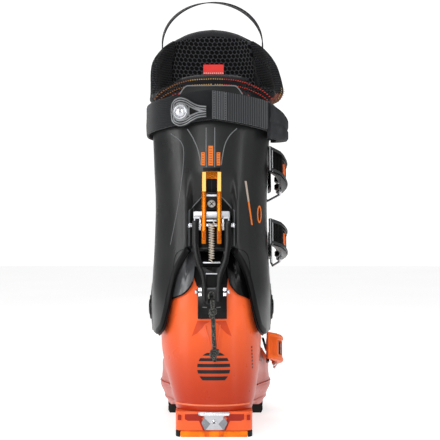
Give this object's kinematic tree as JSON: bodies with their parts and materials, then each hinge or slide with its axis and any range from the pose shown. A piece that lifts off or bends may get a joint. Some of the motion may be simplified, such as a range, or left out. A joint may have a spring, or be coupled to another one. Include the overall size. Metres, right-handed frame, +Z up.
{
  "type": "ski touring boot",
  "caption": "Hinged-cuff ski touring boot for the right foot: rigid lower shell, cuff with a rear walk lever, padded liner, strap and side buckles.",
  "frame": {"origin": "middle of the heel's contact face, on the ground", "axes": "+X to the lateral (outer) side, +Y to the toe, +Z up"},
  "size_m": [0.1375, 0.3238, 0.413],
  "materials": {
    "orange_shell": "satin moulded plastic",
    "orange_lever": "satin moulded plastic",
    "amber_pad": "matt",
    "cuff_black": "satin moulded plastic",
    "gloss_black": "semi-gloss",
    "rubber_black": "matt",
    "liner_fabric": "spacer mesh and padded cloth",
    "webbing": "ribbed webbing",
    "red_label": "woven",
    "silver": "satin",
    "gold": "anodised",
    "cord_black": "braided"
  },
  "bodies": {
    "lower": {"lower_shell": "orange_shell", "liner_foot": "liner_fabric", "boot_board": "gloss_black", "instep_flap": "orange_shell", "heel_block": "orange_shell", "heel_sole": "rubber_black", "heel_pad": "amber_pad", "toe_sole": "rubber_black", "toe_tech_insert": "silver", "heel_tech_insert": "silver", "heel_insert_screw": "silver", "lock_block": "gloss_black", "lock_pin_medial": "silver", "lock_pin_lateral": "silver", "instep_buckle_base": "gloss_black", "toe_buckle_base": "gloss_black", "instep_buckle_ladder": "gloss_black", "toe_buckle_ladder": "gloss_black"},
    "cuff": {"cuff_shell": "cuff_black", "cuff_rear_skirt": "gloss_black", "rear_spoiler": "cuff_black", "pivot_bolt_lateral": "gloss_black", "pivot_bolt_medial": "gloss_black", "lean_fork": "gold", "main_axle": "silver", "axle_bracket": "silver", "axle_lug_medial": "silver", "axle_lug_lateral": "silver", "lean_plate": "gloss_black", "lean_screw": "silver", "liner_collar": "liner_fabric", "liner_tongue": "liner_fabric", "liner_label": "red_label", "pull_loop": "webbing", "power_strap": "webbing", "strap_tab": "rubber_black", "strap_webbing": "webbing", "strap_keeper": "gloss_black", "strap_rivet": "silver", "upper_buckle_base": "gloss_black", "lower_buckle_base": "gloss_black", "upper_buckle_ladder": "gloss_black", "lower_buckle_ladder": "gloss_black"},
    "walk_lever": {"lock_bar": "gloss_black", "spring_upper_bar": "silver", "spring_lower_bar": "silver", "return_spring": "silver", "pull_cord": "cord_black"},
    "upper_lever": {"upper_buckle_lever": "gloss_black", "upper_buckle_pin": "silver"},
    "upper_bail": {"upper_buckle_bail": "silver"},
    "lower_lever": {"lower_buckle_lever": "gloss_black", "lower_buckle_pin": "silver"},
    "lower_bail": {"lower_buckle_bail": "silver"},
    "instep_lever": {"instep_buckle_lever": "orange_lever", "instep_buckle_pin": "silver"},
    "instep_bail": {"instep_buckle_bail": "silver"},
    "toe_lever": {"toe_buckle_lever": "orange_lever", "toe_buckle_pin": "silver"},
    "toe_bail": {"toe_buckle_bail": "silver"}
  },
  "joints": [
    {"name": "cuff_lean", "type": "hinge", "parent": "lower", "child": "cuff", "pos_m": [0, 0.052, 0.115], "axis": [-1, 0, 0], "range_deg": [-20, 20], "deforming": ["pull_cord"]},
    {"name": "walk_lever_lift", "type": "hinge", "parent": "cuff", "child": "walk_lever", "pos_m": [-0.0022, -0.0414, 0.1951], "axis": [-1, 0, 0], "range_deg": [0, 40]},
    {"name": "upper_lever_open", "type": "hinge", "parent": "cuff", "child": "upper_lever", "pos_m": [0.06402, 0.072, 0.24], "axis": [0, 0.342, 0.9397], "range_deg": [0, 95]},
    {"name": "upper_bail_swing", "type": "hinge", "parent": "upper_lever", "child": "upper_bail", "pos_m": [0.06502, 0.06354, 0.24308], "axis": [0, 0.342, 0.9397], "range_deg": [-96, 1]},
    {"name": "lower_lever_open", "type": "hinge", "parent": "cuff", "child": "lower_lever", "pos_m": [0.06456, 0.078, 0.174], "axis": [0, 0.2756, 0.9613], "range_deg": [0, 95]},
    {"name": "lower_bail_swing", "type": "hinge", "parent": "lower_lever", "child": "lower_bail", "pos_m": [0.06556, 0.06935, 0.17648], "axis": [0, 0.2756, 0.9613], "range_deg": [-96, 1]},
    {"name": "instep_lever_open", "type": "hinge", "parent": "lower", "child": "instep_lever", "pos_m": [0.06101, 0.098, 0.068], "axis": [0, 0.2079, 0.9781], "range_deg": [0, 95]},
    {"name": "instep_bail_swing", "type": "hinge", "parent": "instep_lever", "child": "instep_bail", "pos_m": [0.06201, 0.0892, 0.06987], "axis": [0, 0.2079, 0.9781], "range_deg": [-96, 1]},
    {"name": "toe_lever_open", "type": "hinge", "parent": "lower", "child": "toe_lever", "pos_m": [0.06156, 0.172, 0.066], "axis": [0, 0.1045, 0.9945], "range_deg": [0, 95]},
    {"name": "toe_bail_swing", "type": "hinge", "parent": "toe_lever", "child": "toe_bail", "pos_m": [0.06256, 0.16305, 0.06694], "axis": [0, 0.1045, 0.9945], "range_deg": [-96, 1]}
  ],
  "couplings": [
    {"joint": "upper_bail_swing", "follows": "upper_lever_open", "ratio": -1},
    {"joint": "lower_bail_swing", "follows": "lower_lever_open", "ratio": -1},
    {"joint": "instep_bail_swing", "follows": "instep_lever_open", "ratio": -1},
    {"joint": "toe_bail_swing", "follows": "toe_lever_open", "ratio": -1}
  ]
}
